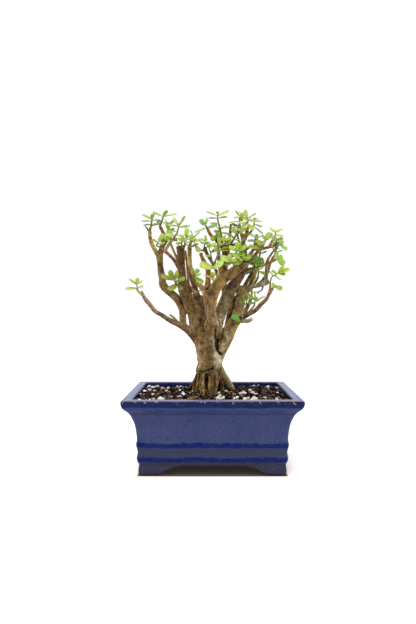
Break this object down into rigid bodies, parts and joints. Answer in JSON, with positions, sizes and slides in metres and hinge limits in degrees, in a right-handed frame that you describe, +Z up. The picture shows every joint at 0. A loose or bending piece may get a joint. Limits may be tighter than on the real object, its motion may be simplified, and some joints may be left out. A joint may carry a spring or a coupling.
{
  "type": "dwarf jade bonsai",
  "caption": "Small succulent bonsai with exposed roots, forked trunk and fleshy leaves, in a rectangular glazed pot.",
  "frame": {"origin": "on the ground, under the middle of the pot", "axes": "+Z up, front of the pot faces -Y, the long side of the pot runs along X"},
  "size_m": [0.2, 0.152, 0.3126],
  "materials": {
    "blue_glaze": "satin",
    "gritty_soil": "matte",
    "black_screen": "matte",
    "brown_bark": "matte",
    "jade_leaf": "satin"
  },
  "bodies": {
    "root": {"pot": "blue_glaze", "soil": "gritty_soil", "drain_screen_left": "black_screen", "drain_screen_right": "black_screen", "trunk": "brown_bark", "shoot_01": "jade_leaf", "shoot_02": "jade_leaf", "shoot_03": "jade_leaf", "shoot_04": "jade_leaf", "shoot_05": "jade_leaf", "shoot_06": "jade_leaf", "shoot_07": "jade_leaf", "shoot_08": "jade_leaf", "shoot_09": "jade_leaf", "shoot_10": "jade_leaf", "shoot_11": "jade_leaf", "shoot_12": "jade_leaf", "shoot_13": "jade_leaf", "shoot_14": "jade_leaf", "shoot_15": "jade_leaf", "shoot_16": "jade_leaf", "shoot_17": "jade_leaf", "shoot_18": "jade_leaf", "shoot_19": "jade_leaf", "shoot_20": "jade_leaf", "shoot_21": "jade_leaf", "shoot_22": "jade_leaf", "shoot_23": "jade_leaf", "shoot_24": "jade_leaf", "shoot_25": "jade_leaf", "shoot_26": "jade_leaf", "shoot_27": "jade_leaf", "shoot_28": "jade_leaf", "shoot_29": "jade_leaf", "shoot_30": "jade_leaf", "shoot_31": "jade_leaf", "shoot_32": "jade_leaf", "shoot_33": "jade_leaf", "shoot_34": "jade_leaf", "shoot_35": "jade_leaf", "shoot_36": "jade_leaf", "shoot_37": "jade_leaf", "shoot_38": "jade_leaf", "shoot_39": "jade_leaf", "shoot_40": "jade_leaf", "shoot_41": "jade_leaf", "shoot_42": "jade_leaf", "shoot_43": "jade_leaf", "shoot_44": "jade_leaf", "shoot_45": "jade_leaf", "shoot_46": "jade_leaf", "shoot_47": "jade_leaf", "shoot_48": "jade_leaf", "shoot_49": "jade_leaf", "shoot_50": "jade_leaf", "shoot_51": "jade_leaf", "shoot_52": "jade_leaf"}
  },
  "joints": []
}
